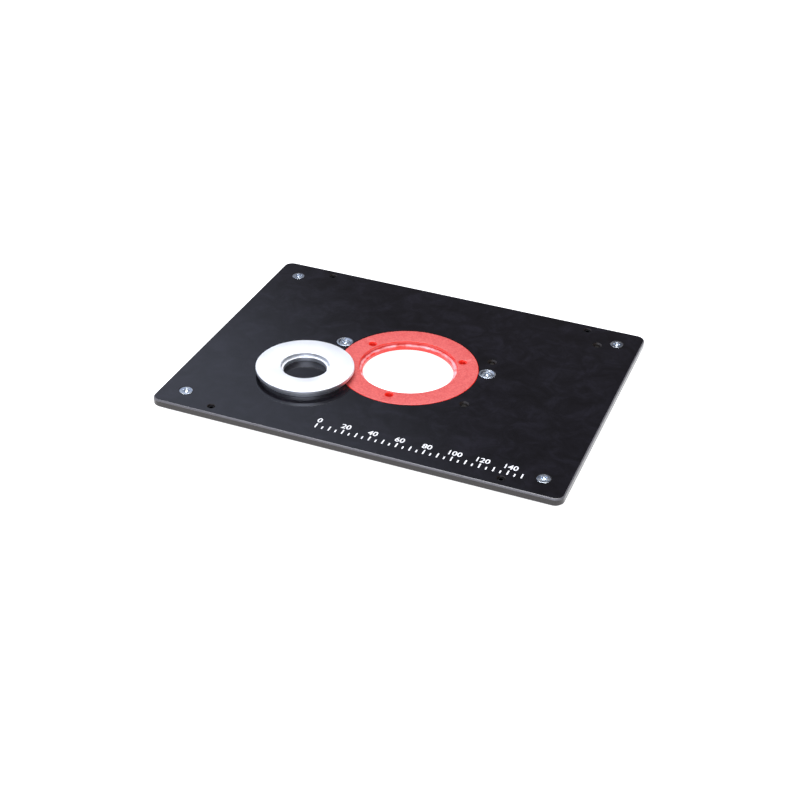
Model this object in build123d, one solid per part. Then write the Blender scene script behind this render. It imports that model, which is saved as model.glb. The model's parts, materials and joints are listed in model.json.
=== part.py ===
from build123d import *
import os

# A router table insert plate: a laminate plate that drops into a rebate in a workshop table and
# carries a router underneath. Two reducing rings close its opening around the cutter.
#
# Millimetres. X runs along the plate, Y across it, Z up. The origin is on the axis of the opening,
# in the plane of the fixing screws' tips, which is the surface that the loose plate stands on.

# Plate
PLATE_LENGTH = 305.0
PLATE_WIDTH = 229.0
PLATE_THICKNESS = 6.35
PLATE_CORNER_RADIUS = 7.0
TOP_ARRIS_RADIUS = 1.2
BOTTOM_ARRIS_CHAMFER = 1.2
OPENING_DIAMETER = 98.0

# Large reducing ring, which sits flush in the plate and carries the small one on a ledge
LARGE_RING_DIAMETER = 104.4
LARGE_RING_FLANGE = 3.0
LARGE_RING_LEDGE = 2.65
LARGE_RING_RIM_CHAMFER = 0.5
LARGE_RING_MOUTH_RADIUS = 1.2
RING_HOLE_DIAMETER = 4.6
RING_HOLE_CHAMFER = 0.9
RING_HOLE_COUNT = 3
RING_HOLE_MARGIN = 4.9
RING_HOLE_FIRST_ANGLE = 32.0

# Small reducing ring, which drops into the large one and is laid on the plate here
SMALL_RING_DIAMETER = 72.2
SMALL_RING_FLANGE = 2.7
SMALL_RING_OPENING = 31.8
BUSH_SEAT_DIAMETER = 35.3
BUSH_SEAT_DEPTH = 2.8
SMALL_RING_CHAMFER = 0.4
SMALL_RING_OVERLAP = 11.7
SMALL_RING_BEARING = 210.2

# Countersunk screws that fix the plate to the table
FIXING_SCREW_DIAMETER = 4.9
FIXING_SCREW_LENGTH = 16.0
FIXING_NECK_DIAMETER = 4.4
FIXING_NECK_BELOW = 1.0
FIXING_HEAD_DIAMETER = 9.6
FIXING_HOLE_DIAMETER = 5.5
FIXING_HEAD_SINK = 0.15
FIXING_INSET_X = 18.5
FIXING_INSET_Y = 19.5

# Socket set screws that level the plate in its rebate
LEVEL_SCREW_DIAMETER = 5.0
LEVEL_SCREW_SINK = 0.9
LEVEL_SCREW_SOCKET = 2.5
LEVEL_SOCKET_DEPTH = 2.2
LEVEL_INSET_X = 44.7
LEVEL_INSET_Y = 8.3
LEVEL_HOLE_CHAMFER = 0.5

# Clamp screws and washers beside the large ring
CLAMP_SCREW_DIAMETER = 3.9
CLAMP_HEAD_DIAMETER = 8.0
CLAMP_HEAD_SINK = 0.7
CLAMP_WASHER_DIAMETER = 12.8
CLAMP_WASHER_FLOOR = 0.15
CLAMP_ANGLE = 14.0

# Tapped holes for the lead-on pin: two beside the ring, and one that stores it near a corner
PIN_HOLE_DIAMETER = 5.0
PIN_HOLE_CHAMFER = 1.1
PIN_HOLE_ANGLE = 29.5
PIN_HOLE_MARGIN = 11.1
STORAGE_HOLE_OFFSET_X = 13.4
STORAGE_HOLE_OFFSET_Y = 7.4

# Fits and small details
SLIP_FIT = 0.3
RUNNING_FIT = 0.05
SEAT_FIT = 0.05
COUNTERBORE_FIT = 0.2
UNDERSIDE_SETBACK = 0.15
HEAD_LAND = 0.3
SCREW_TIP_CHAMFER = 0.6
RECESS_SHARE = 0.52
RECESS_WING = 1.1
RECESS_DEPTH = 2.0

# Heights
plate_top = FIXING_SCREW_LENGTH + FIXING_HEAD_SINK
plate_bottom = plate_top - PLATE_THICKNESS
ring_bottom = plate_bottom + UNDERSIDE_SETBACK
ring_height = plate_top - ring_bottom
fixing_head_top = plate_top - FIXING_HEAD_SINK
clamp_head_top = plate_top - CLAMP_HEAD_SINK
clamp_cone_depth = (CLAMP_HEAD_DIAMETER - CLAMP_SCREW_DIAMETER) / 2
clamp_washer_low = clamp_head_top - HEAD_LAND - clamp_cone_depth - CLAMP_WASHER_FLOOR

# Places in plan
fixing_x = PLATE_LENGTH / 2 - FIXING_INSET_X
fixing_y = PLATE_WIDTH / 2 - FIXING_INSET_Y
level_x = PLATE_LENGTH / 2 - LEVEL_INSET_X
level_y = PLATE_WIDTH / 2 - LEVEL_INSET_Y
clamp_reach = LARGE_RING_DIAMETER / 2 + SLIP_FIT + CLAMP_WASHER_DIAMETER / 2
pin_hole_reach = LARGE_RING_DIAMETER / 2 + PIN_HOLE_MARGIN
small_ring_reach = (LARGE_RING_DIAMETER + SMALL_RING_DIAMETER) / 2 - SMALL_RING_OVERLAP
small_ring_recess = SMALL_RING_DIAMETER + 2 * SLIP_FIT
large_ring_opening = small_ring_recess - 2 * LARGE_RING_LEDGE
small_ring_spigot = large_ring_opening - 2 * SLIP_FIT
ring_hole_reach = small_ring_recess / 2 + RING_HOLE_MARGIN

# Each corner's sides in X and Y, and the angle that its fixing screw was left at
CORNERS = {
    "front_left": (-1, -1, 20),
    "front_right": (1, -1, 62),
    "back_left": (-1, 1, 38),
    "back_right": (1, 1, 8),
}
CLAMP_SIDES = {"left": 180.0 - CLAMP_ANGLE, "right": CLAMP_ANGLE}


def polar(reach, angle):
    """A place at a distance and a bearing from the opening's axis, turned to that bearing."""
    return Rot(0, 0, angle) * Pos(reach, 0, 0)


def disc(diameter, low, high):
    """An upright cylinder on the origin's axis, between two heights."""
    return Pos(0, 0, low) * Cylinder(diameter / 2, high - low, align=(Align.CENTER, Align.CENTER, Align.MIN))


def taper(low_diameter, high_diameter, low, high):
    """An upright cone on the origin's axis, between two heights."""
    return Pos(0, 0, low) * Cone(
        low_diameter / 2,
        high_diameter / 2,
        high - low,
        align=(Align.CENTER, Align.CENTER, Align.MIN),
    )


def rims(solid, diameter, z):
    """The solid's circular edges of one diameter at one height."""
    circles = solid.edges().filter_by(GeomType.CIRCLE)
    return circles.filter_by(lambda e: abs(e.radius - diameter / 2) < 1e-3 and abs(e.center().Z - z) < 1e-3)


def chamfered_hole(diameter, chamfer_width):
    """A cutter for a hole right through the plate, broken at both faces."""
    wide = diameter + 2 * chamfer_width
    hole = disc(diameter, plate_bottom - 1, plate_top + 1)
    hole += taper(diameter, wide, plate_top - chamfer_width, plate_top)
    hole += disc(wide, plate_top, plate_top + 1)
    hole += taper(wide, diameter, plate_bottom, plate_bottom + chamfer_width)
    hole += disc(wide, plate_bottom - 1, plate_bottom)
    return hole


def countersunk_hole(hole_diameter, head_diameter, head_top, low, high):
    """A cutter for a hole whose 90 degree seat opens out from under a head to a face."""
    seat_top = head_top - HEAD_LAND
    mouth_diameter = head_diameter + 2 * (high - seat_top + SEAT_FIT)
    cut = disc(hole_diameter, low - 1, high)
    cut += taper(hole_diameter, mouth_diameter, high - (mouth_diameter - hole_diameter) / 2, high)
    cut += disc(mouth_diameter, high, high + 1)
    return cut


def cross_recess(head_diameter, top):
    """A cutter for the cross-shaped driver recess in a screw's head."""
    span = head_diameter * RECESS_SHARE
    wing = Rectangle(span, RECESS_WING)
    foot = Rectangle(span / 3, RECESS_WING * 2 / 3)
    slot = loft([Pos(0, 0, top) * wing, Pos(0, 0, top - RECESS_DEPTH) * foot])
    return slot + Rot(0, 0, 90) * slot + taper(span / 4, span / 2, top - RECESS_DEPTH, top)


def countersunk_screw(diameter, neck_diameter, head_diameter, tip, neck_low, top):
    """A countersunk screw, head up: its threaded shank from the tip to the neck, then neck and head."""
    cone_top = top - HEAD_LAND
    cone_depth = (head_diameter - neck_diameter) / 2
    shank = disc(diameter, tip, neck_low)
    shank = chamfer(rims(shank, diameter, tip), SCREW_TIP_CHAMFER)
    head = disc(neck_diameter, neck_low, cone_top)
    head += taper(neck_diameter, head_diameter, cone_top - cone_depth, cone_top)
    head += disc(head_diameter, cone_top, top)
    return shank + head - cross_recess(head_diameter, top)


def insert_plate():
    """The black laminate plate with its opening, ring rebate and screw holes."""
    outline = RectangleRounded(PLATE_LENGTH, PLATE_WIDTH, PLATE_CORNER_RADIUS)
    plate = Pos(0, 0, plate_bottom) * extrude(outline, PLATE_THICKNESS)
    plate = fillet(plate.edges().group_by(Axis.Z)[-1], TOP_ARRIS_RADIUS)
    plate = chamfer(plate.edges().group_by(Axis.Z)[0], BOTTOM_ARRIS_CHAMFER)
    plate -= disc(OPENING_DIAMETER, plate_bottom - 1, plate_top + 1)
    rebate_floor = plate_top - LARGE_RING_FLANGE
    plate -= disc(LARGE_RING_DIAMETER + 2 * SLIP_FIT, rebate_floor, plate_top + 1)

    fixing_hole = countersunk_hole(
        FIXING_HOLE_DIAMETER,
        FIXING_HEAD_DIAMETER,
        fixing_head_top,
        plate_bottom,
        plate_top,
    )
    level_hole = chamfered_hole(LEVEL_SCREW_DIAMETER + 2 * RUNNING_FIT, LEVEL_HOLE_CHAMFER)
    for side_x, side_y, _ in CORNERS.values():
        plate -= Pos(side_x * fixing_x, side_y * fixing_y) * fixing_hole
        plate -= Pos(side_x * level_x, side_y * level_y) * level_hole

    counterbore = disc(CLAMP_WASHER_DIAMETER + 2 * COUNTERBORE_FIT, clamp_washer_low, plate_top + 1)
    clamp_hole = disc(CLAMP_SCREW_DIAMETER + 2 * RUNNING_FIT, plate_bottom - 1, plate_top)
    for angle in CLAMP_SIDES.values():
        plate -= polar(clamp_reach, angle) * (counterbore + clamp_hole)

    pin_hole = chamfered_hole(PIN_HOLE_DIAMETER, PIN_HOLE_CHAMFER)
    for angle in (-PIN_HOLE_ANGLE, PIN_HOLE_ANGLE):
        plate -= polar(pin_hole_reach, angle) * pin_hole
    plate -= Pos(fixing_x - STORAGE_HOLE_OFFSET_X, fixing_y - STORAGE_HOLE_OFFSET_Y) * pin_hole
    return plate


def large_reducing_ring():
    """The red moulded ring: a flange, a spigot in the plate's opening and a recess for the small ring."""
    flange_low = plate_top - LARGE_RING_FLANGE
    recess_floor = plate_top - SMALL_RING_FLANGE
    spigot_diameter = OPENING_DIAMETER - 2 * SLIP_FIT
    ring = disc(LARGE_RING_DIAMETER, flange_low, plate_top)
    ring += disc(spigot_diameter, ring_bottom, flange_low)
    ring -= disc(small_ring_recess, recess_floor, plate_top + 1)
    ring -= disc(large_ring_opening, ring_bottom - 1, recess_floor + 1)
    ring = fillet(rims(ring, large_ring_opening, recess_floor), LARGE_RING_MOUTH_RADIUS)
    ring = chamfer(rims(ring, LARGE_RING_DIAMETER, plate_top), LARGE_RING_RIM_CHAMFER)
    ring = chamfer(rims(ring, small_ring_recess, plate_top), LARGE_RING_RIM_CHAMFER)
    ring = chamfer(rims(ring, spigot_diameter, ring_bottom), LARGE_RING_RIM_CHAMFER)

    hole = disc(RING_HOLE_DIAMETER, ring_bottom - 1, plate_top + 1)
    hole += taper(
        RING_HOLE_DIAMETER,
        RING_HOLE_DIAMETER + 2 * RING_HOLE_CHAMFER,
        plate_top - RING_HOLE_CHAMFER,
        plate_top,
    )
    for index in range(RING_HOLE_COUNT):
        angle = RING_HOLE_FIRST_ANGLE + index * 360 / RING_HOLE_COUNT
        ring -= polar(ring_hole_reach, angle) * hole
    return ring


def small_reducing_ring():
    """The turned aluminium ring, laid on the plate with its rim over the edge of the large ring."""
    high = plate_top + ring_height
    flange_low = high - SMALL_RING_FLANGE
    seat_floor = high - BUSH_SEAT_DEPTH
    ring = disc(SMALL_RING_DIAMETER, flange_low, high)
    ring += disc(small_ring_spigot, plate_top, flange_low)
    ring -= disc(SMALL_RING_OPENING, plate_top - 1, high + 1)
    ring -= disc(BUSH_SEAT_DIAMETER, seat_floor, high + 1)
    ring = chamfer(rims(ring, SMALL_RING_DIAMETER, high), SMALL_RING_CHAMFER)
    ring = chamfer(rims(ring, SMALL_RING_DIAMETER, flange_low), SMALL_RING_CHAMFER)
    ring = chamfer(rims(ring, small_ring_spigot, plate_top), SMALL_RING_CHAMFER)
    ring = chamfer(rims(ring, BUSH_SEAT_DIAMETER, high), SMALL_RING_CHAMFER)
    ring = chamfer(rims(ring, SMALL_RING_OPENING, plate_top), SMALL_RING_CHAMFER)
    return polar(small_ring_reach, SMALL_RING_BEARING) * ring


def fixing_screw(side_x, side_y, turn):
    """A screw through a corner of the plate into the table, with a plain neck in the plate's hole."""
    screw = countersunk_screw(
        FIXING_SCREW_DIAMETER,
        FIXING_NECK_DIAMETER,
        FIXING_HEAD_DIAMETER,
        fixing_head_top - FIXING_SCREW_LENGTH,
        plate_bottom - FIXING_NECK_BELOW,
        fixing_head_top,
    )
    return Pos(side_x * fixing_x, side_y * fixing_y) * Rot(0, 0, turn) * screw


def level_screw(side_x, side_y):
    """A headless screw in a tapped hole near the plate's edge, which bears on the table's ledge."""
    top = plate_top - LEVEL_SCREW_SINK
    tip = ring_bottom + LEVEL_HOLE_CHAMFER
    screw = disc(LEVEL_SCREW_DIAMETER, tip, top)
    screw = chamfer(rims(screw, LEVEL_SCREW_DIAMETER, tip), SCREW_TIP_CHAMFER)
    socket = RegularPolygon(LEVEL_SCREW_SOCKET / 2, 6, major_radius=False)
    screw -= Pos(0, 0, top - LEVEL_SOCKET_DEPTH) * extrude(socket, LEVEL_SOCKET_DEPTH + 1)
    return Pos(side_x * level_x, side_y * level_y) * screw


def clamp_washer(angle):
    """A turned washer, flush with the plate, beside the large ring's rim."""
    washer = disc(CLAMP_WASHER_DIAMETER, clamp_washer_low, plate_top)
    washer = chamfer(rims(washer, CLAMP_WASHER_DIAMETER, plate_top), HEAD_LAND)
    washer -= countersunk_hole(
        CLAMP_SCREW_DIAMETER + 2 * RUNNING_FIT,
        CLAMP_HEAD_DIAMETER,
        clamp_head_top,
        clamp_washer_low,
        plate_top,
    )
    return polar(clamp_reach, angle) * washer


def clamp_screw(angle):
    """The countersunk screw, threaded up to its head, that holds a clamp washer down in the plate."""
    screw = countersunk_screw(
        CLAMP_SCREW_DIAMETER,
        CLAMP_SCREW_DIAMETER,
        CLAMP_HEAD_DIAMETER,
        ring_bottom,
        clamp_washer_low,
        clamp_head_top,
    )
    return polar(clamp_reach, angle) * screw


pieces = {
    "insert_plate": insert_plate(),
    "large_reducing_ring": large_reducing_ring(),
    "small_reducing_ring": small_reducing_ring(),
}
for corner, (side_x, side_y, turn) in CORNERS.items():
    pieces[f"fixing_screw_{corner}"] = fixing_screw(side_x, side_y, turn)
    pieces[f"level_screw_{corner}"] = level_screw(side_x, side_y)
for side, angle in CLAMP_SIDES.items():
    pieces[f"clamp_washer_{side}"] = clamp_washer(angle)
    pieces[f"clamp_screw_{side}"] = clamp_screw(angle)

os.makedirs("parts", exist_ok=True)
for name, piece in pieces.items():
    export_step(piece, f"parts/{name}.step")
    print(name, round(piece.volume, 1), "mm3")
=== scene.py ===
# %% [markdown]
# # An insert plate for a router table
#
# A router hangs under a workshop table from a flat plate that drops into a rebate in the top. The
# plate is polished phenolic laminate, and two reducing rings close its opening round the cutter:
# a moulded red one, flush in the plate, and a turned aluminium one, left lying on top.
#
# The construction arrives as a finished frame, in metres, with every piece in place. This script
# gives each piece the surface that it has on the bench, and builds again, in finer detail, what a
# small construction model leaves plain: turned and moulded edges, screw threads and driver
# recesses.

# %% Load the frame
import json
import math

import bmesh
import bpy
import numpy as np
from mathutils import Matrix, Vector

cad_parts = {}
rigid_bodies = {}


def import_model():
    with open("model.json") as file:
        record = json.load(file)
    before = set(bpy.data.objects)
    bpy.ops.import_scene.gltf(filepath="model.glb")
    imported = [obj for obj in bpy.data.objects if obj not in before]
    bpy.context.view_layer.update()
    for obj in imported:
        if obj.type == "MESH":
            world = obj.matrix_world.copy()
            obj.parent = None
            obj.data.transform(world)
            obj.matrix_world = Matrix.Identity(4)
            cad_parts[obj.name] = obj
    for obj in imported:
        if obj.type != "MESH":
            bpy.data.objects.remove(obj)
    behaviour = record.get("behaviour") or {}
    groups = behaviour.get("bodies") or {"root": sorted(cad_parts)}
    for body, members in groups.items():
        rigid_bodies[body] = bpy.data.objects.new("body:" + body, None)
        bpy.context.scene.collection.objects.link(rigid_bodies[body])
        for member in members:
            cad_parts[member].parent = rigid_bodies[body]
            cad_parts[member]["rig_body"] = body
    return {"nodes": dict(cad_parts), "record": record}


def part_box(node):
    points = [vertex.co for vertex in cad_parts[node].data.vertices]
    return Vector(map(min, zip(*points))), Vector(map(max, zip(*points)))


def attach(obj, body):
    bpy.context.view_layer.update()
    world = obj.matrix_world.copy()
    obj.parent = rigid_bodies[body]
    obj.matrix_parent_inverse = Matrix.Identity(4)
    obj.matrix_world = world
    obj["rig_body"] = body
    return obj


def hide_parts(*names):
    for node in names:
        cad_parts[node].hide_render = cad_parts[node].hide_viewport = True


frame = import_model()
nodes = frame["nodes"]
mounts = {mount["name"]: mount for mount in frame["record"]["mounts"]}
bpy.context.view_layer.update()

# %% [markdown]
# ## Sizes that every piece shares
#
# The frame is in metres and workshop sizes are in millimetres, so one constant turns one into the
# other. The heights come from the plate's own box, and the radii of the rings from the mounts
# that the record states, so that a new frame moves everything that is built on it.

# %% Heights and radii
MM = 0.001
plate_low, plate_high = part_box("insert_plate")
plate_top = plate_high.z
plate_bottom = plate_low.z


def mount_radius(name):
    """The radius in metres that the record states for a round mount."""
    return mounts[name]["dims"]["r_mm"] * MM


opening_radius = mount_radius("cutter_opening")
recess_radius = mount_radius("ring_recess")
bush_seat_radius = mount_radius("bush_seat")
small_opening_radius = mount_radius("small_opening")
print("plate", round(1000 * (plate_top - plate_bottom), 2), "mm thick")

# %% [markdown]
# ## Colour and node helpers
#
# A colour picked on screen is an sRGB value, and a shader computes in linear light. One function
# turns a hex value from the first to the second. A second function adds a shader node, sets it
# and links it, so that a material reads as a list of its layers.


# %% Colour and node helpers
def linear(hex_colour):
    """An sRGB hex colour as linear red, green, blue and alpha."""
    srgb = np.array([int(hex_colour[place : place + 2], 16) for place in (1, 3, 5)]) / 255
    light = np.where(srgb <= 0.04045, srgb / 12.92, ((srgb + 0.055) / 1.055) ** 2.4)
    return (*light.tolist(), 1.0)


def add(tree, kind, inputs=None, stops=(), **settings):
    """Adds a shader node with its settings and links.

    Settings are the node's own properties, and inputs maps a socket to a value or to the output
    that feeds it. A colour ramp also has stops, (position, hex colour) from left to right.
    """
    node = tree.nodes.new("ShaderNode" + kind)
    for name, value in settings.items():
        setattr(node, name, value)
    for socket, value in (inputs or {}).items():
        if isinstance(value, bpy.types.NodeSocket):
            tree.links.new(value, node.inputs[socket])
        else:
            node.inputs[socket].default_value = value
    for _ in stops[2:]:
        node.color_ramp.elements.new(0.5)
    for index, (position, colour) in enumerate(stops):
        node.color_ramp.elements[index].position = position
        node.color_ramp.elements[index].color = linear(colour)
    return node


def new_material(name, shader_inputs):
    """A material with one Principled shader. Returns the material, its tree and the shader."""
    material = bpy.data.materials.new(name)
    material.use_nodes = True
    tree = material.node_tree
    tree.nodes.clear()
    shader = add(tree, "BsdfPrincipled", shader_inputs)
    add(tree, "OutputMaterial", {"Surface": shader.outputs["BSDF"]})
    return material, tree, shader


print("mid grey on screen is", round(linear("#808080")[0], 3), "in linear light")

# %% [markdown]
# ## Polished phenolic laminate
#
# The plate is sheets of paper soaked in phenolic resin and pressed hard, with a black skin on
# both faces. The skin is polished, so it mirrors the room softly. Handling leaves faint clouds of
# scuffs in its colour, and wider smears that show only in the reflections. Where a cutter went
# through the skin, at the rounded edge, in the holes and in the rebate, the dark brown core shows
# in fine layers.
#
# Skin and core are told apart by height in the plate. The layers are 0.2 mm sheets, drawn 0.4 mm
# apart so that they can be seen. The bevel round the outline was cut, and there the core is
# painted a paler grey than on the sawn sides and in the holes, a painted highlight along the edge.
# It is the core that is both just under the top face and near the outline.

# %% The colour of the core
LAYER_SPACING = 0.4 * MM
BEVEL = 1.15 * MM
OUTLINE_ZONE = 3.5 * MM
CORE_SHADES = [(0.0, "#100d0c"), (0.6, "#1b1614"), (1.0, "#2a221e")]
EDGE_HIGHLIGHT_GREY = "#5f5d60"


def core_colour(tree, place, height):
    """Brown layers as a sine of height, and painted highlight grey near the top and outline.

    A place is near the outline if x or y, without its sign, is past the plate's half length or half
    width less OUTLINE_ZONE.
    """
    turns = add(tree, "Math", {0: height, 1: 2 * math.pi / LAYER_SPACING}, operation="MULTIPLY")
    wave = add(tree, "Math", {0: turns.outputs[0]}, operation="SINE")
    layer = add(tree, "MapRange", {"Value": wave.outputs[0], "From Min": -1.0, "From Max": 1.0})
    layers = add(tree, "ValToRGB", {"Fac": layer.outputs["Result"]}, CORE_SHADES)

    in_bevel = add(tree, "Math", {0: height, 1: plate_top - BEVEL}, operation="GREATER_THAN")
    inside = (plate_high.x - OUTLINE_ZONE, plate_high.y - OUTLINE_ZONE, 0.0)
    spread = add(tree, "VectorMath", {0: place}, operation="ABSOLUTE")
    past = add(tree, "VectorMath", {0: spread.outputs[0], 1: inside}, operation="SUBTRACT")
    sides = add(tree, "SeparateXYZ", {"Vector": past.outputs[0]}).outputs
    furthest = add(tree, "Math", {0: sides["X"], 1: sides["Y"]}, operation="MAXIMUM").outputs[0]
    at_outline = add(tree, "Math", {0: furthest, 1: 0.0}, operation="GREATER_THAN").outputs[0]
    # Painted highlight: core on the bevel near the outline is painted a paler grey than in the
    # holes.
    bevel_highlight = add(tree, "Math", {0: in_bevel.outputs[0], 1: at_outline}, operation="MULTIPLY")
    core_with_bevel_highlight = add(
        tree,
        "Mix",
        {"Factor": bevel_highlight.outputs[0], "A": layers.outputs["Color"], "B": linear(EDGE_HIGHLIGHT_GREY)},
        data_type="RGBA",
    )
    return core_with_bevel_highlight.outputs["Result"]


# %% Skin and core together
SKIN = 0.03 * MM
SCUFF_SIZE = 16.67 * MM
SMEAR_SIZE = 33.33 * MM
RIPPLE_SIZE = 3.846 * MM
SKIN_SHADES = [(0.36, "#0a090c"), (0.5, "#0f0e12"), (0.66, "#17161c")]
SAWN_ROUGHNESS = 0.18


def polished_laminate():
    """Black skin within SKIN of either face, and layered brown core between the skins."""
    material, tree, shader = new_material("polished_phenolic_laminate", {"IOR": 1.5})
    place = add(tree, "TexCoord").outputs["Object"]
    height = add(tree, "SeparateXYZ", {"Vector": place}).outputs["Z"]
    middle = (plate_top + plate_bottom) / 2
    from_middle = add(tree, "Math", {0: height, 1: middle}, operation="SUBTRACT")
    distance = add(tree, "Math", {0: from_middle.outputs[0]}, operation="ABSOLUTE").outputs[0]
    core_half = (plate_top - plate_bottom) / 2 - SKIN
    in_core = add(tree, "Math", {0: distance, 1: core_half}, operation="LESS_THAN").outputs[0]

    scuff = add(
        tree,
        "TexNoise",
        {
            "Vector": place,
            "Scale": 1 / SCUFF_SIZE,
            "Detail": 7.0,
            "Roughness": 0.7,
            "Distortion": 0.8,
        },
    )
    skin = add(tree, "ValToRGB", {"Fac": scuff.outputs["Fac"]}, SKIN_SHADES).outputs["Color"]
    core = core_colour(tree, place, height)
    colour = add(tree, "Mix", {"Factor": in_core, "A": skin, "B": core}, data_type="RGBA")
    tree.links.new(colour.outputs["Result"], shader.inputs["Base Color"])

    smear = add(
        tree,
        "TexNoise",
        {
            "Vector": place,
            "Scale": 1 / SMEAR_SIZE,
            "Detail": 6.0,
            "Roughness": 0.65,
            "Distortion": 1.2,
        },
    ).outputs["Fac"]
    polish = add(
        tree,
        "MapRange",
        {"Value": smear, "From Min": 0.35, "From Max": 0.7, "To Min": 0.08, "To Max": 0.13},
    ).outputs["Result"]
    sawn = add(tree, "Math", {0: in_core, 1: SAWN_ROUGHNESS}, operation="MULTIPLY").outputs[0]
    rough = add(tree, "Math", {0: polish, 1: sawn}, operation="ADD").outputs[0]
    tree.links.new(rough, shader.inputs["Roughness"])

    ripple = add(tree, "TexNoise", {"Vector": place, "Scale": 1 / RIPPLE_SIZE, "Detail": 3.0})
    bump = add(
        tree,
        "Bump",
        {"Height": ripple.outputs["Fac"], "Strength": 0.06, "Distance": 0.05 * MM},
    )
    tree.links.new(bump.outputs["Normal"], shader.inputs["Normal"])
    return material


laminate = polished_laminate()
print("material", laminate.name, "with", len(laminate.node_tree.nodes), "nodes")

# %% [markdown]
# ## Moulded ABS
#
# The large ring is injection moulded in red ABS. Its colour goes right through. The flat faces of
# its tool were spark eroded, which leaves a fine even grain of about 0.15 mm. There the red is
# painted paler, a painted sheen for the light that the grain scatters. The walls came off a
# polished core, and stay deep and glossy. The two are told apart by how far the surface faces up
# or down. The grain is drawn 1.2 mm across to show. The ledge in the recess carries a painted
# pink-white highlight in streaks.

# %% Moulded ABS
SPARK_GRAIN = 1.2 * MM
HIGHLIGHT_STREAK_SIZE = 8.333 * MM
GRAIN_AND_SHEEN_SHADES = [(0.35, "#b8403d"), (0.65, "#ca5853")]
POLISHED_RED = "#e02a1a"
PAINTED_HIGHLIGHT_PINK = "#eeb0b6"


def moulded_abs():
    """Painted pale sheen on grained flats, deep glossy walls, a painted highlight on the ledge."""
    material, tree, shader = new_material(
        "moulded_red_abs",
        {
            "IOR": 1.54,
            "Subsurface Weight": 0.05,
            "Subsurface Scale": 0.5 * MM,
            "Subsurface Radius": (1.0, 0.3, 0.2),
        },
    )
    coordinates = add(tree, "TexCoord").outputs
    place = coordinates["Object"]
    facing = add(tree, "SeparateXYZ", {"Vector": coordinates["Normal"]}).outputs["Z"]
    steep = add(tree, "Math", {0: facing}, operation="ABSOLUTE").outputs[0]
    flat = add(
        tree,
        "MapRange",
        {"Value": steep, "From Min": 0.9, "From Max": 0.99},
    ).outputs["Result"]

    grain = add(
        tree,
        "TexNoise",
        {"Vector": place, "Scale": 1 / SPARK_GRAIN, "Detail": 2.0, "Roughness": 0.5},
    ).outputs["Fac"]
    # Painted sheen: the grained flat faces get paler reds than the walls, for the light the grain
    # scatters.
    grain_and_sheen = add(tree, "ValToRGB", {"Fac": grain}, GRAIN_AND_SHEEN_SHADES).outputs["Color"]
    colour = add(
        tree,
        "Mix",
        {"Factor": flat, "A": linear(POLISHED_RED), "B": grain_and_sheen},
        data_type="RGBA",
    )

    # Painted highlight: the upward-facing ledge below the top is painted pink-white in noise
    # streaks.
    height = add(tree, "SeparateXYZ", {"Vector": place}).outputs["Z"]
    below = add(tree, "Math", {0: height, 1: plate_top - MM}, operation="LESS_THAN").outputs[0]
    on_ledge = add(tree, "Math", {0: below, 1: facing}, operation="MULTIPLY").outputs[0]
    highlight_streak = add(tree, "TexNoise", {"Vector": place, "Scale": 1 / HIGHLIGHT_STREAK_SIZE, "Detail": 4.0})
    streaked_highlight = add(
        tree,
        "MapRange",
        {"Value": highlight_streak.outputs["Fac"], "From Min": 0.35, "From Max": 0.6},
    ).outputs["Result"]
    ledge_highlight = add(tree, "Math", {0: on_ledge, 1: streaked_highlight}, operation="MULTIPLY", use_clamp=True)
    ledge_highlighted = add(
        tree,
        "Mix",
        {"Factor": ledge_highlight.outputs[0], "A": colour.outputs["Result"], "B": linear(PAINTED_HIGHLIGHT_PINK)},
        data_type="RGBA",
    )
    tree.links.new(ledge_highlighted.outputs["Result"], shader.inputs["Base Color"])

    strength = add(tree, "Math", {0: flat, 1: 0.5}, operation="MULTIPLY").outputs[0]
    bump = add(tree, "Bump", {"Height": grain, "Strength": strength, "Distance": 0.05 * MM})
    tree.links.new(bump.outputs["Normal"], shader.inputs["Normal"])
    satin = add(tree, "MapRange", {"Value": flat, "To Min": 0.16, "To Max": 0.45})
    tree.links.new(satin.outputs["Result"], shader.inputs["Roughness"])
    return material


red_abs = moulded_abs()
print("material", red_abs.name, "with", len(red_abs.node_tree.nodes), "nodes")

# %% [markdown]
# ## Turned aluminium
#
# The small ring is turned from aluminium bar. A lathe tool leaves one fine spiral groove, which
# looks like rings round the ring's own centre, so the pattern is a function of the distance from
# that centre: a Mapping node moves the centre to nought, and only the flat distance is used. The
# feed is about 0.15 mm a turn, drawn 0.35 mm.

# %% Turned aluminium
TOOL_FEED = 0.35 * MM
STAIN_SIZE = 14.29 * MM


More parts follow.
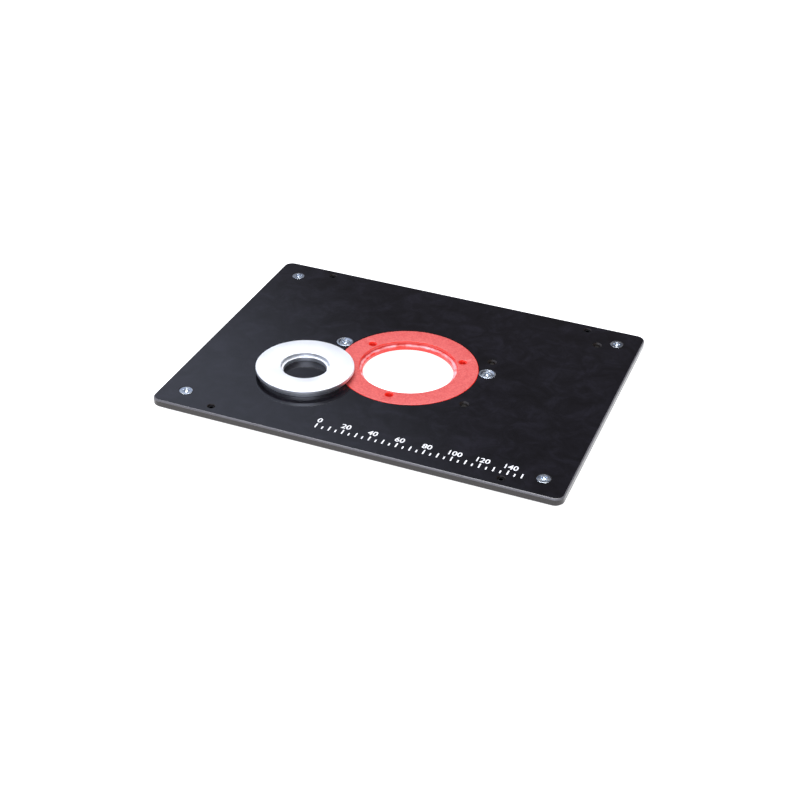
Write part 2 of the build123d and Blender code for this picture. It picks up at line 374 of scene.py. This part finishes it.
def turned_aluminium(centre):
    """Bare bright metal with rings of tool marks about an upright axis through a point.

    The marks are a sine of the distance from the axis, made uneven by noise along the same line.
    """
    material, tree, shader = new_material(
        "turned_aluminium",
        {"Base Color": linear("#eceef1"), "Metallic": 1.0},
    )
    place = add(tree, "TexCoord").outputs["Object"]
    moved = add(tree, "Mapping", {"Vector": place, "Location": (-centre.x, -centre.y, 0.0)})
    flat = add(
        tree,
        "VectorMath",
        {0: moved.outputs["Vector"], 1: (1.0, 1.0, 0.0)},
        operation="MULTIPLY",
    )
    reach = add(tree, "VectorMath", {0: flat.outputs[0]}, operation="LENGTH").outputs["Value"]
    angle = add(tree, "Math", {0: reach, 1: 2 * math.pi / TOOL_FEED}, operation="MULTIPLY")
    turns = angle.outputs[0]
    wave = add(tree, "Math", {0: turns}, operation="SINE").outputs[0]
    chatter = add(tree, "TexNoise", {"W": turns, "Scale": 0.31}, noise_dimensions="1D")
    marks = add(tree, "Math", {0: wave, 1: chatter.outputs["Fac"]}, operation="MULTIPLY")
    bump = add(
        tree,
        "Bump",
        {"Height": marks.outputs[0], "Strength": 0.25, "Distance": 0.02 * MM},
    )
    tree.links.new(bump.outputs["Normal"], shader.inputs["Normal"])

    noise = add(tree, "TexNoise", {"Vector": place, "Scale": 1 / STAIN_SIZE, "Detail": 4.0})
    stain = noise.outputs["Fac"]
    dull = add(
        tree,
        "MapRange",
        {"Value": stain, "From Min": 0.3, "From Max": 0.7, "To Min": 0.44, "To Max": 0.5},
    )
    tree.links.new(dull.outputs["Result"], shader.inputs["Roughness"])
    return material


small_low, small_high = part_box("small_reducing_ring")
small_centre = (small_low + small_high) / 2
aluminium = turned_aluminium(small_centre)
print("material", aluminium.name, "with", len(aluminium.node_tree.nodes), "nodes")

# %% [markdown]
# ## Plated and blackened steel
#
# The screws and washers are zinc plated and passivated, which gives bright steel a blue cast that
# drifts a little from place to place. The levelling screws are black from an oil and oxide
# finish, which still glints on its edges.

# %% Plated and blackened steel
DRIFT_SIZE = 2.222 * MM
ZINC_SHADES = [(0.25, "#a4b2c8"), (0.5, "#c8d0d9"), (0.75, "#dedfda")]
OXIDE_SHADES = [(0.3, "#1b1b1d"), (0.7, "#2a2a2c")]


def drifting_steel(name, shades, rough_from, rough_to):
    """A metal whose tint and polish drift over a couple of millimetres."""
    material, tree, shader = new_material(name, {"Metallic": 1.0})
    place = add(tree, "TexCoord").outputs["Object"]
    noise = add(tree, "TexNoise", {"Vector": place, "Scale": 1 / DRIFT_SIZE, "Detail": 3.0})
    drift = noise.outputs["Fac"]
    tint = add(tree, "ValToRGB", {"Fac": drift}, shades).outputs["Color"]
    tree.links.new(tint, shader.inputs["Base Color"])
    polish = add(
        tree,
        "MapRange",
        {
            "Value": drift,
            "From Min": 0.3,
            "From Max": 0.7,
            "To Min": rough_from,
            "To Max": rough_to,
        },
    )
    tree.links.new(polish.outputs["Result"], shader.inputs["Roughness"])
    return material


zinc = drifting_steel("zinc_plated_steel", ZINC_SHADES, 0.17, 0.28)
oxide = drifting_steel("blackened_steel", OXIDE_SHADES, 0.25, 0.4)
print("materials", zinc.name, oxide.name)

# %% [markdown]
# ## Surfaces from grids
#
# A turned, threaded or moulded ring is one surface with two parameters: how far along its
# outline, and how far round. With both as numpy arrays, its points are a grid of radii and
# heights, and the faces join each point to the next along and the next round. `surface` makes
# that mesh, and the helpers after it make the outlines.


# %% A grid of points becomes a mesh
def surface(name, radius, height, centre, loop):
    """The surface with points (x + r cos a, y + r sin a, z) for grids r and z.

    Rows go along the outline, and columns once round, at even angles a. If loop is true, the last
    row joins the first. Otherwise both ends lie on the axis, where a row of points becomes one
    point.
    """
    rows, columns = radius.shape
    angle = 2 * math.pi * np.arange(columns) / columns
    x = centre.x + radius * np.cos(angle)
    y = centre.y + radius * np.sin(angle)
    points = np.stack([x, y, height], axis=-1)
    row = np.arange(rows if loop else rows - 1)[:, None]
    column = np.arange(columns)[None, :]
    next_row = (row + 1) % rows
    next_column = (column + 1) % columns
    quads = np.stack(
        [
            row * columns + column,
            row * columns + next_column,
            next_row * columns + next_column,
            next_row * columns + column,
        ],
        axis=-1,
    ).reshape(-1, 4)
    mesh = bpy.data.meshes.new(name)
    mesh.from_pydata(points.reshape(-1, 3).tolist(), [], quads.tolist())
    return mesh


def rounded(corners, steps=6):
    """An outline of (r, z, radius) corners as an array of (r, z), each corner an arc of its radius.

    An arc starts and ends at radius / tan(half the inner angle) from its corner. Its points are the
    arc's centre plus radius times (cos t, sin t), with t going evenly from one end to the other.
    """
    outline = []
    corners = np.array(corners, float)
    for index, (r, z, radius) in enumerate(corners):
        here = np.array([r, z])
        before = corners[index - 1, :2] - here
        after = corners[(index + 1) % len(corners), :2] - here
        before /= np.linalg.norm(before)
        after /= np.linalg.norm(after)
        half = math.acos(np.clip(before @ after, -1, 1)) / 2
        if radius == 0:
            outline.append(here[None, :])
            continue
        start = here + before * radius / math.tan(half)
        middle = here + (before + after) / np.linalg.norm(before + after) * radius / math.sin(half)
        end = here + after * radius / math.tan(half)
        first = math.atan2(*(start - middle)[::-1])
        sweep = (math.atan2(*(end - middle)[::-1]) - first + math.pi) % (2 * math.pi) - math.pi
        turn = first + sweep * np.linspace(0, 1, steps + 1)
        outline.append(middle + radius * np.stack([np.cos(turn), np.sin(turn)], axis=1))
    return np.concatenate(outline)


# %% [markdown]
# ## Finishing a mesh
#
# A mesh needs four things before it is a piece. Points that share a place are merged, which
# closes the poles. Its normals are made to point outwards. It is shaded smooth, but edges that
# turn by more than 30 degrees stay sharp. Then it rides on its body and stands for its node in
# the frame.

# %% Finish a mesh as a piece
SHARP_ANGLE = math.radians(30)


def finish_mesh(mesh):
    """Merges points closer than a micrometre, turns all faces outwards and shades the mesh."""
    work = bmesh.new()
    work.from_mesh(mesh)
    bmesh.ops.remove_doubles(work, verts=work.verts, dist=0.001 * MM)
    bmesh.ops.recalc_face_normals(work, faces=work.faces)
    work.to_mesh(mesh)
    work.free()
    mesh.shade_smooth()
    mesh.set_sharp_from_angle(angle=SHARP_ANGLE)


def place_piece(name, mesh, material, node):
    """Makes a piece of a mesh, which rides on its node's body and replaces the node."""
    finish_mesh(mesh)
    mesh.materials.clear()
    mesh.materials.append(material)
    piece = bpy.data.objects.new(name, mesh)
    bpy.context.scene.collection.objects.link(piece)
    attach(piece, nodes[node]["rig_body"])
    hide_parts(node)
    print(name, len(mesh.polygons), "faces")


# %% [markdown]
# ## The small ring
#
# This ring is all turning, so it is one closed outline carried round: a flange with a spigot
# under it, a seat for a guide bush inside, and every edge broken by a fine radius, where the
# light catches.

# %% The small ring
RING_COLUMNS = 256
SMALL_FLANGE = 2.7 * MM
BUSH_SEAT_DEPTH = 2.8 * MM
SLIP_FIT = 0.3 * MM
TURNED_EDGE = 0.35 * MM


def around(outline, columns):
    """The radius and height grids of an outline that is the same all the way round."""
    return [np.repeat(outline[:, axis : axis + 1], columns, axis=1) for axis in (0, 1)]


def small_ring():
    """The flange, spigot, bush seat and opening as one closed outline."""
    low, high = small_low.z, small_high.z
    rim = (small_high.x - small_low.x) / 2
    spigot = opening_radius - SLIP_FIT
    outline = rounded(
        [
            (rim, high, TURNED_EDGE),
            (rim, high - SMALL_FLANGE, TURNED_EDGE),
            (spigot, high - SMALL_FLANGE, TURNED_EDGE / 3),
            (spigot, low, TURNED_EDGE),
            (small_opening_radius, low, TURNED_EDGE),
            (small_opening_radius, high - BUSH_SEAT_DEPTH, TURNED_EDGE / 2),
            (bush_seat_radius, high - BUSH_SEAT_DEPTH, TURNED_EDGE / 3),
            (bush_seat_radius, high, TURNED_EDGE),
        ]
    )
    return surface("small_ring", *around(outline, RING_COLUMNS), small_centre, loop=True)


place_piece(
    "aluminium_reducing_ring",
    small_ring(),
    aluminium,
    "small_reducing_ring",
)

# %% [markdown]
# ## The large ring
#
# The large ring is moulded, with softer edges and a rounded mouth where the work passes over. It
# has three screw holes, which no outline carried round can make, so the holes are cut by a
# Boolean from a cutter that is itself an outline with a countersunk mouth.

# %% The large ring
LARGE_FLANGE = 3.0 * MM
PLATE_OPENING_RADIUS = 49.0 * MM
MOULDED_EDGE = 0.5 * MM
MOUTH_RADIUS = 1.2 * MM
RING_HOLE_SINK = 0.9 * MM
RING_HOLE_FIRST_ANGLE = 32.0
LIP_RISE = 0.25
CUTTER_MARGIN = 1.0 * MM
CUTTER_COLUMNS = 64

large_low, large_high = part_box("large_reducing_ring")
large_centre = (large_low + large_high) / 2


def large_ring_blank():
    """The flange, spigot, stepped recess and rounded mouth as one closed outline."""
    low, high = large_low.z, large_high.z
    rim = (large_high.x - large_low.x) / 2
    spigot = PLATE_OPENING_RADIUS - SLIP_FIT
    floor = high - SMALL_FLANGE
    outline = rounded(
        [
            (rim, high, MOULDED_EDGE),
            (rim, high - LARGE_FLANGE, MOULDED_EDGE / 2),
            (spigot, high - LARGE_FLANGE, MOULDED_EDGE / 4),
            (spigot, low, MOULDED_EDGE),
            (opening_radius, low, MOULDED_EDGE),
            (opening_radius, floor, MOUTH_RADIUS),
            (recess_radius, floor, MOULDED_EDGE / 2),
            (recess_radius, high, MOULDED_EDGE),
        ]
    )
    return surface("large_ring", *around(outline, RING_COLUMNS), large_centre, loop=True)


def hole_cutter(centre, radius, sink, low, high):
    """A solid plug for a hole through a piece, widened at the top by a 45 degree sink.

    The sink's two edges are arcs. The upper one ends above the face, so that it cuts a soft lip.
    """
    lip = sink / 3
    mouth = radius + sink
    bottom = low - CUTTER_MARGIN
    top = high + CUTTER_MARGIN
    wall = rounded(
        [
            (0.0, bottom, 0.0),
            (radius, bottom, 0.0),
            (radius, high - sink, lip),
            (mouth, high, lip),
            (mouth + sink, high + sink * LIP_RISE, 0.0),
            (mouth + sink, top, 0.0),
            (0.0, top, 0.0),
        ]
    )
    return surface("hole_cutter", *around(wall, CUTTER_COLUMNS), centre, loop=False)


def cut(blank, cutters):
    """The blank mesh less the cutter meshes, by the exact Boolean solver."""
    target = bpy.data.objects.new("blank", blank)
    tool_set = bpy.data.collections.new("cutters")
    bpy.context.scene.collection.objects.link(target)
    bpy.context.scene.collection.children.link(tool_set)
    for mesh in cutters:
        finish_mesh(mesh)
        tool_set.objects.link(bpy.data.objects.new("cutter", mesh))
    finish_mesh(blank)
    boolean = target.modifiers.new("holes", "BOOLEAN")
    boolean.operation = "DIFFERENCE"
    boolean.solver = "EXACT"
    boolean.operand_type = "COLLECTION"
    boolean.collection = tool_set
    depsgraph = bpy.context.evaluated_depsgraph_get()
    result = bpy.data.meshes.new_from_object(target.evaluated_get(depsgraph))
    for item in [target, *tool_set.objects]:
        bpy.data.objects.remove(item)
    bpy.data.collections.remove(tool_set)
    return result


ring_holes = mounts["ring_fixing_holes"]["dims"]
ring_hole_turns = np.arange(ring_holes["count"]) / ring_holes["count"]
ring_hole_angles = np.radians(RING_HOLE_FIRST_ANGLE + 360 * ring_hole_turns)
ring_hole_reach = ring_holes["pcd_mm"] / 2 * MM
ring_hole_cutters = [
    hole_cutter(
        large_centre + ring_hole_reach * Vector((math.cos(angle), math.sin(angle), 0)),
        ring_holes["hole_r_mm"] * MM,
        RING_HOLE_SINK,
        large_low.z,
        large_high.z,
    )
    for angle in ring_hole_angles
]
place_piece(
    "red_reducing_ring",
    cut(large_ring_blank(), ring_hole_cutters),
    red_abs,
    "large_reducing_ring",
)

# %% [markdown]
# ## Screws
#
# A screw is also one surface, but not a plain turning: its thread climbs as it goes round, and
# the recess in its head is a cross. Both fit the same grid, because a grid may hold a different
# radius or height in each column. A thread's radius depends on height less the pitch's share of
# the turn, and a recess is a depth that depends on where a point lies across the head.

# %% Threads
SCREW_COLUMNS = 96
ROWS_A_PITCH = 8
FLANK_RISE = 1.3
FLANK_DROP = 0.15
columns_round = 2 * math.pi * np.arange(SCREW_COLUMNS) / SCREW_COLUMNS


def thread(low, high, radius, pitch, depth, run_out):
    """Radius and height grids of a thread, from high down to low.

    The crest is at radius and the root a depth further in. In between, the flank is a triangle
    wave of height / pitch less the turn, scaled by FLANK_RISE and lowered by FLANK_DROP, so that
    clipping it leaves flats at crest and root. It fades out over run_out at the ends.
    """
    rows = max(4, int((high - low) / pitch * ROWS_A_PITCH))
    z = np.linspace(high, low, rows)[:, None] + np.zeros(SCREW_COLUMNS)
    phase = (z / pitch - columns_round / (2 * math.pi)) % 1
    flank = np.clip(FLANK_RISE * (1 - np.abs(2 * phase - 1)) - FLANK_DROP, 0, 1)
    fade = np.clip(np.minimum(high - z, z - low) / run_out, 0, 1)
    return radius - depth * (1 - flank) * fade, z


def stack(*grids):
    """Joins radius and height grids end to end."""
    return [np.concatenate([grid[axis] for grid in grids]) for axis in (0, 1)]


def ring_rows(*places):
    """Radius and height grids of plain rings at (radius, height) places."""
    return around(np.array(places), SCREW_COLUMNS)


print("a screw goes round in", SCREW_COLUMNS, "columns")

# %% Cross recesses
HEAD_ROWS = 44
ARM_SOFTNESS = 0.14
ARM_RISE = 0.7
PIT_SHARE = 0.3
PIT_FLAT = 1.15


def step(distance, softness):
    """Goes smoothly from 0 to 1 as a distance goes from minus to plus the softness."""
    share = np.clip(distance / softness / 2 + 0.5, 0, 1)
    return share * share * (3 - 2 * share)


def cross_head(radius, top, turn, span, wing, recess):
    """Radius and height grids of a screw head's top, from its middle out, with a cross recess.

    Across the head a point has places u and v along the two arms of the cross. Each arm is deep
    where v lies within half the wing and u within half the span, and shallower further out. In the
    middle is a conical pit, PIT_SHARE of the span in radius.
    """
    reach = np.linspace(0, 1, HEAD_ROWS)[:, None] * radius + np.zeros(SCREW_COLUMNS)
    u = reach * np.cos(columns_round - turn)
    v = reach * np.sin(columns_round - turn)
    soft = wing * ARM_SOFTNESS
    arms = [
        step(wing / 2 - np.abs(across), soft)
        * step(span / 2 - np.abs(along), soft)
        * (1 - ARM_RISE * np.abs(along) / span)
        for along, across in ((u, v), (v, u))
    ]
    pit = np.clip(PIT_FLAT - reach / (span * PIT_SHARE), 0, 1)
    return reach, top - recess * np.maximum(np.maximum(*arms), pit)


# %% [markdown]
# ## The fixing screws
#
# Four M5 countersunk screws hold the plate down in the corners. Each was driven home at its own
# angle. Its head has an eased edge, sits just under the face, and bears on a 90 degree seat, and
# its plain neck runs through the plate to the thread, which has a pitch of 0.8 mm.

# %% The fixing screws
HEAD_LAND = 0.3 * MM
HEAD_EDGE = 0.12 * MM
RECESS_SHARE = 0.56
WING_WIDTH = 1.3 * MM
RECESS_DEPTH = 2.0 * MM
THREAD_DEPTH = 0.54
TIP_CHAMFER = 0.6 * MM
FIXING_RADIUS = 2.45 * MM
FIXING_NECK = 2.2 * MM
FIXING_NECK_BELOW = 1.0 * MM
FIXING_PITCH = 0.8 * MM
FIXING_TURNS = {"front_left": 20, "front_right": 62, "back_left": 38, "back_right": 8}


def countersunk(node, shank, neck, neck_low, pitch, turn):
    """A countersunk screw in a node's box, from the middle of its head to the middle of its tip.

    The seat under the head falls as much as it narrows, and the thread's depth is THREAD_DEPTH of
    its pitch.
    """
    low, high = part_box(node)
    head = (high.x - low.x) / 2
    cone_top = high.z - HEAD_LAND
    span = 2 * head * RECESS_SHARE
    grids = stack(
        cross_head(head - HEAD_EDGE, high.z, math.radians(turn), span, WING_WIDTH, RECESS_DEPTH),
        ring_rows(
            (head - HEAD_EDGE * 0.3, high.z - HEAD_EDGE * 0.3),
            (head, high.z - HEAD_EDGE),
            (head, cone_top),
            (neck, cone_top - (head - neck)),
            (neck, neck_low),
        ),
        thread(low.z + TIP_CHAMFER, neck_low, shank, pitch, pitch * THREAD_DEPTH, pitch),
        ring_rows((shank - TIP_CHAMFER, low.z), (0.0, low.z)),
    )
    return surface(node, *grids, (low + high) / 2, loop=False)


for corner, turn in FIXING_TURNS.items():
    node = f"fixing_screw_{corner}"
    mesh = countersunk(
        node,
        FIXING_RADIUS,
        FIXING_NECK,
        plate_bottom - FIXING_NECK_BELOW,
        FIXING_PITCH,
        turn,
    )
    place_piece(f"{node}_finished", mesh, zinc, node)

# %% [markdown]
# ## The clamp screws and washers
#
# Beside the large ring two M4 screws hold turned washers, which keep the ring down. The washer
# has a countersunk seat that is wider than the head, so a dark ring shows between the two.

# %% The clamp screws and washers
CLAMP_RADIUS = 1.95 * MM
CLAMP_PITCH = 0.7 * MM
CLAMP_TURNS = {"left": 12, "right": 33}
WASHER_HOLE = 2.0 * MM
WASHER_MOUTH = 5.05 * MM
WASHER_EDGE = 0.3 * MM


def clamp_washer(node):
    """A turned washer in a node's box, with a 90 degree seat from its top face."""
    low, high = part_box(node)
    rim = (high.x - low.x) / 2
    outline = rounded(
        [
            (rim, high.z, WASHER_EDGE),
            (rim, low.z, WASHER_EDGE / 2),
            (WASHER_HOLE, low.z, 0.0),
            (WASHER_HOLE, high.z - (WASHER_MOUTH - WASHER_HOLE), 0.0),
            (WASHER_MOUTH, high.z, WASHER_EDGE / 3),
        ]
    )
    return surface(node, *around(outline, SCREW_COLUMNS), (low + high) / 2, loop=True)


for side, turn in CLAMP_TURNS.items():
    washer = f"clamp_washer_{side}"
    place_piece(f"{washer}_finished", clamp_washer(washer), zinc, washer)
    screw = f"clamp_screw_{side}"
    neck_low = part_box(washer)[0].z
    mesh = countersunk(screw, CLAMP_RADIUS, CLAMP_RADIUS, neck_low, CLAMP_PITCH, turn)
    place_piece(f"{screw}_finished", mesh, zinc, screw)

# %% [markdown]
# ## The levelling screws
#
# In four small tapped holes along the long edges stand headless M5 screws. They carry the plate
# on the ledge of its rebate, and a hexagon key turns them from above until the plate is level.

# %% The levelling screws
LEVEL_PITCH = 0.8 * MM
LEVEL_SOCKET = 2.5 * MM
LEVEL_SOCKET_DEPTH = 2.2 * MM
LEVEL_THREAD_DEPTH = 0.5
LEVEL_EDGE = 0.3 * MM


def hex_head(radius, top, socket, recess):
    """Radius and height grids of a headless screw's end and hexagon socket, from the middle out.

    A hexagon's radius at an angle is its half width over the cosine of the angle from the nearest
    flat. The socket's floor dips to the middle as a drill leaves it, and its mouth is eased.
    """
    from_flat = (columns_round + math.pi / 6) % (math.pi / 3) - math.pi / 6
    hexagon = socket / 2 / np.cos(from_flat)
    easing = socket * 0.05
    radii = [hexagon * 0, hexagon * 0.9, hexagon, hexagon, hexagon + easing, hexagon * 0 + radius]
    depths = [recess * 1.2, recess, recess * 0.93, easing, 0, 0]
    return np.stack(radii), top - np.array(depths)[:, None] + np.zeros(SCREW_COLUMNS)


def levelling_screw(node):
    """A headless screw in a node's box, with a hexagon socket at the top and a flat point."""
    low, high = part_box(node)
    radius = (high.x - low.x) / 2
    grids = stack(
        hex_head(radius - LEVEL_EDGE, high.z, LEVEL_SOCKET, LEVEL_SOCKET_DEPTH),
        thread(
            low.z + TIP_CHAMFER,
            high.z - LEVEL_EDGE,
            radius,
            LEVEL_PITCH,
            LEVEL_PITCH * LEVEL_THREAD_DEPTH,
            LEVEL_PITCH / 2,
        ),
        ring_rows((radius - TIP_CHAMFER, low.z), (0.0, low.z)),
    )
    return surface(node, *grids, (low + high) / 2, loop=False)


for corner in FIXING_TURNS:
    node = f"level_screw_{corner}"
    place_piece(f"{node}_finished", levelling_screw(node), oxide, node)

# %% [markdown]
# ## The plate
#
# The plate's shape in the frame is already right, with its rounded top edge and its countersinks,
# so it keeps its mesh and only gets the laminate.

# %% The plate
plate = nodes["insert_plate"]
plate.data.materials.clear()
plate.data.materials.append(laminate)
print("plate", len(plate.data.polygons), "faces")

# %% [markdown]
# ## A printed rule
#
# A plain rule in white ink runs along the front of the plate, and helps to set work against the
# cutter. It counts millimetres, with a tick every 5 and a number every 20. Each tick is a thin
# flat rectangle a hair above the skin, and each number is set as text and then made a mesh.

# %% A printed rule
RULE_START = -30.0
RULE_LENGTH = 150
RULE_Y = -101.0
TICK_STEP = 5
LONG_TICK_STEP = 10
NUMBER_STEP = 20
TICK_WIDTH = 1.0
SHORT_TICK = 3.0
LONG_TICK = 5.0
DIGIT_HEIGHT = 7.2
DIGIT_WEIGHT = 0.1
DIGIT_GAP = 1.8
INK_BLOTCH = 1.111 * MM
INK_LIFT = 0.02 * MM
INK_SHADES = [(0.3, "#c9c9cc"), (0.6, "#f2f2f2")]


def white_ink():
    """Screen-printed white ink, a little uneven in its cover."""
    material, tree, shader = new_material("white_ink", {"Roughness": 0.5})
    place = add(tree, "TexCoord").outputs["Object"]
    cover = add(tree, "TexNoise", {"Vector": place, "Scale": 1 / INK_BLOTCH, "Detail": 3.0})
    white = add(tree, "ValToRGB", {"Fac": cover.outputs["Fac"]}, INK_SHADES).outputs["Color"]
    tree.links.new(white, shader.inputs["Base Color"])
    return material


def ticks():
    """One mesh of all ticks, each a rectangle of TICK_WIDTH, longer at every tenth millimetre."""
    marks = np.arange(0, RULE_LENGTH + 1, TICK_STEP)
    length = np.where(marks % LONG_TICK_STEP == 0, LONG_TICK, SHORT_TICK)
    x = RULE_START + marks
    left, right = x - TICK_WIDTH / 2, x + TICK_WIDTH / 2
    foot = np.full(len(marks), RULE_Y)
    corner_x = np.stack([left, right, right, left], axis=1)
    corner_y = np.stack([foot, foot, foot + length, foot + length], axis=1)
    points = np.stack([corner_x, corner_y], axis=-1).reshape(-1, 2) * MM
    mesh = bpy.data.meshes.new("rule_ticks")
    height = plate_top + INK_LIFT
    corners = np.column_stack([points, np.full(len(points), height)])
    mesh.from_pydata(corners.tolist(), [], np.arange(len(points)).reshape(-1, 4).tolist())
    return mesh


def number(value):
    """The mesh of a number, set over its tick."""
    text = bpy.data.curves.new(f"rule_number_{value}", "FONT")
    text.body = str(value)
    text.size = DIGIT_HEIGHT * MM
    text.offset = DIGIT_WEIGHT * MM
    text.align_x = "CENTER"
    setting = bpy.data.objects.new("setting", text)
    bpy.context.scene.collection.objects.link(setting)
    depsgraph = bpy.context.evaluated_depsgraph_get()
    mesh = bpy.data.meshes.new_from_object(setting.evaluated_get(depsgraph))
    bpy.data.objects.remove(setting)
    across = (RULE_START + value) * MM
    up = (RULE_Y + LONG_TICK + DIGIT_GAP) * MM
    mesh.transform(Matrix.Translation((across, up, plate_top + INK_LIFT)))
    return mesh


def printed(name, mesh, material):
    """Puts a printed mesh on the plate's body."""
    mesh.materials.clear()
    mesh.materials.append(material)
    piece = bpy.data.objects.new(name, mesh)
    bpy.context.scene.collection.objects.link(piece)
    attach(piece, nodes["insert_plate"]["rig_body"])
    print(name, len(mesh.polygons), "faces")


ink = white_ink()
printed("rule_ticks", ticks(), ink)
for value in range(0, RULE_LENGTH + 1, NUMBER_STEP):
    printed(f"rule_number_{value}", number(value), ink)

# %% [markdown]
# ## Floor and light
#
# The plate stands on a sheet of white acrylic that is lit from below, in a light tent. The sheet
# is as bright under the plate as round it, so that nothing casts a shadow. The tent is the world:
# pale on one side and dim on the other, which is what the polished skin mirrors. A wide soft
# light overhead does the work, and a low one in front draws the edges and the sides of the rings.

# %% Floor and light
FLOOR_SIZE = 60.0
FLOOR_GLOW = 1.0


def floor():
    """A white floor under the screws' tips, which glows evenly."""
    material, _, _ = new_material(
        "lit_acrylic",
        {
            "Base Color": linear("#bcbcbc"),
            "Roughness": 0.9,
            "Emission Color": linear("#ffffff"),
            "Emission Strength": FLOOR_GLOW,
        },
    )
    half = FLOOR_SIZE / 2
    corners = [(-half, -half, 0), (half, -half, 0), (half, half, 0), (-half, half, 0)]
    mesh = bpy.data.meshes.new("floor")
    mesh.from_pydata(corners, [], [(0, 1, 2, 3)])
    mesh.materials.append(material)
    piece = bpy.data.objects.new("floor", mesh)
    bpy.context.scene.collection.objects.link(piece)


def soft_light(name, place, size, power, colour):
    """A square area light at a place, turned to face the middle of the floor."""
    data = bpy.data.lights.new(name, "AREA")
    data.size = size
    data.energy = power
    data.color = linear(colour)[:3]
    light = bpy.data.objects.new(name, data)
    light.location = place
    light.rotation_euler = (-Vector(place)).to_track_quat("-Z", "Y").to_euler()
    bpy.context.scene.collection.objects.link(light)


def light_tent(bright_side, bright, dim, edge):
    """A world that is bright on one side and dim elsewhere.

    The share of bright goes smoothly from 0 to 1 as the cosine of the angle from the bright side
    goes from the edge's first value to its second.
    """
    world = bpy.data.worlds.new("light_tent")
    world.use_nodes = True
    tree = world.node_tree
    tree.nodes.clear()
    direction = add(tree, "TexCoord").outputs["Generated"]
    towards = add(
        tree,
        "VectorMath",
        {0: direction, 1: Vector(bright_side).normalized()},
        operation="DOT_PRODUCT",
    )
    share = add(
        tree,
        "MapRange",
        {"Value": towards.outputs["Value"], "From Min": edge[0], "From Max": edge[1]},
        interpolation_type="SMOOTHSTEP",
    )
    tint = add(
        tree,
        "Mix",
        {
            "Factor": share.outputs["Result"],
            "A": [value * dim for value in linear("#efeaf5")],
            "B": [value * bright for value in linear("#dfe8ff")],
        },
        data_type="RGBA",
    )
    background = add(tree, "Background", {"Color": tint.outputs["Result"]})
    add(tree, "OutputWorld", {"Surface": background.outputs["Background"]})
    bpy.context.scene.world = world


floor()
soft_light("overhead_light", place=(-0.2, 0.35, 2.0), size=1.5, power=56.0, colour="#ffffff")
soft_light("front_light", place=(0.5, -1.5, 0.85), size=1.4, power=20.0, colour="#e6ecff")
light_tent(bright_side=(-0.6, 0.0, 0.8), bright=0.85, dim=0.12, edge=(0.585, 0.7))
print("lights", [item.name for item in bpy.data.lights])

# %% [markdown]
# ## Camera
#
# The camera looks down on the plate from the front and a little to the right. Its place is given
# by the angles that it looks along, how far off it is, and how far it is slid across its own
# view.

# %% Camera
CAMERA_AZIMUTH = math.radians(20.84)
CAMERA_ELEVATION = math.radians(32.99)
CAMERA_ROLL = math.radians(1.64)
CAMERA_DISTANCE = 1.087
CAMERA_SLIDE = Vector((-6.1, -24.9)) * MM
CAMERA_LENS = 66.0


def aim_camera():
    """Places the camera from its angles. Back, right and up are its own three directions."""
    back = Vector(
        (
            math.sin(CAMERA_AZIMUTH) * math.cos(CAMERA_ELEVATION),
            -math.cos(CAMERA_AZIMUTH) * math.cos(CAMERA_ELEVATION),
            math.sin(CAMERA_ELEVATION),
        )
    )
    level = Vector((math.cos(CAMERA_AZIMUTH), math.sin(CAMERA_AZIMUTH), 0))
    steep = back.cross(level)
    right = level * math.cos(CAMERA_ROLL) + steep * math.sin(CAMERA_ROLL)
    up = back.cross(right)
    slid = right * CAMERA_SLIDE.x + up * CAMERA_SLIDE.y
    place = Vector((0, 0, plate_top)) + slid + back * CAMERA_DISTANCE
    data = bpy.data.cameras.new("camera")
    data.lens = CAMERA_LENS
    camera = bpy.data.objects.new("camera", data)
    turned = Matrix((right, up, back)).transposed().to_4x4()
    camera.matrix_world = Matrix.Translation(place) @ turned
    bpy.context.scene.collection.objects.link(camera)
    bpy.context.scene.camera = camera
    print("camera", [round(value, 3) for value in place])


aim_camera()
bpy.context.scene.view_settings.view_transform = "Standard"
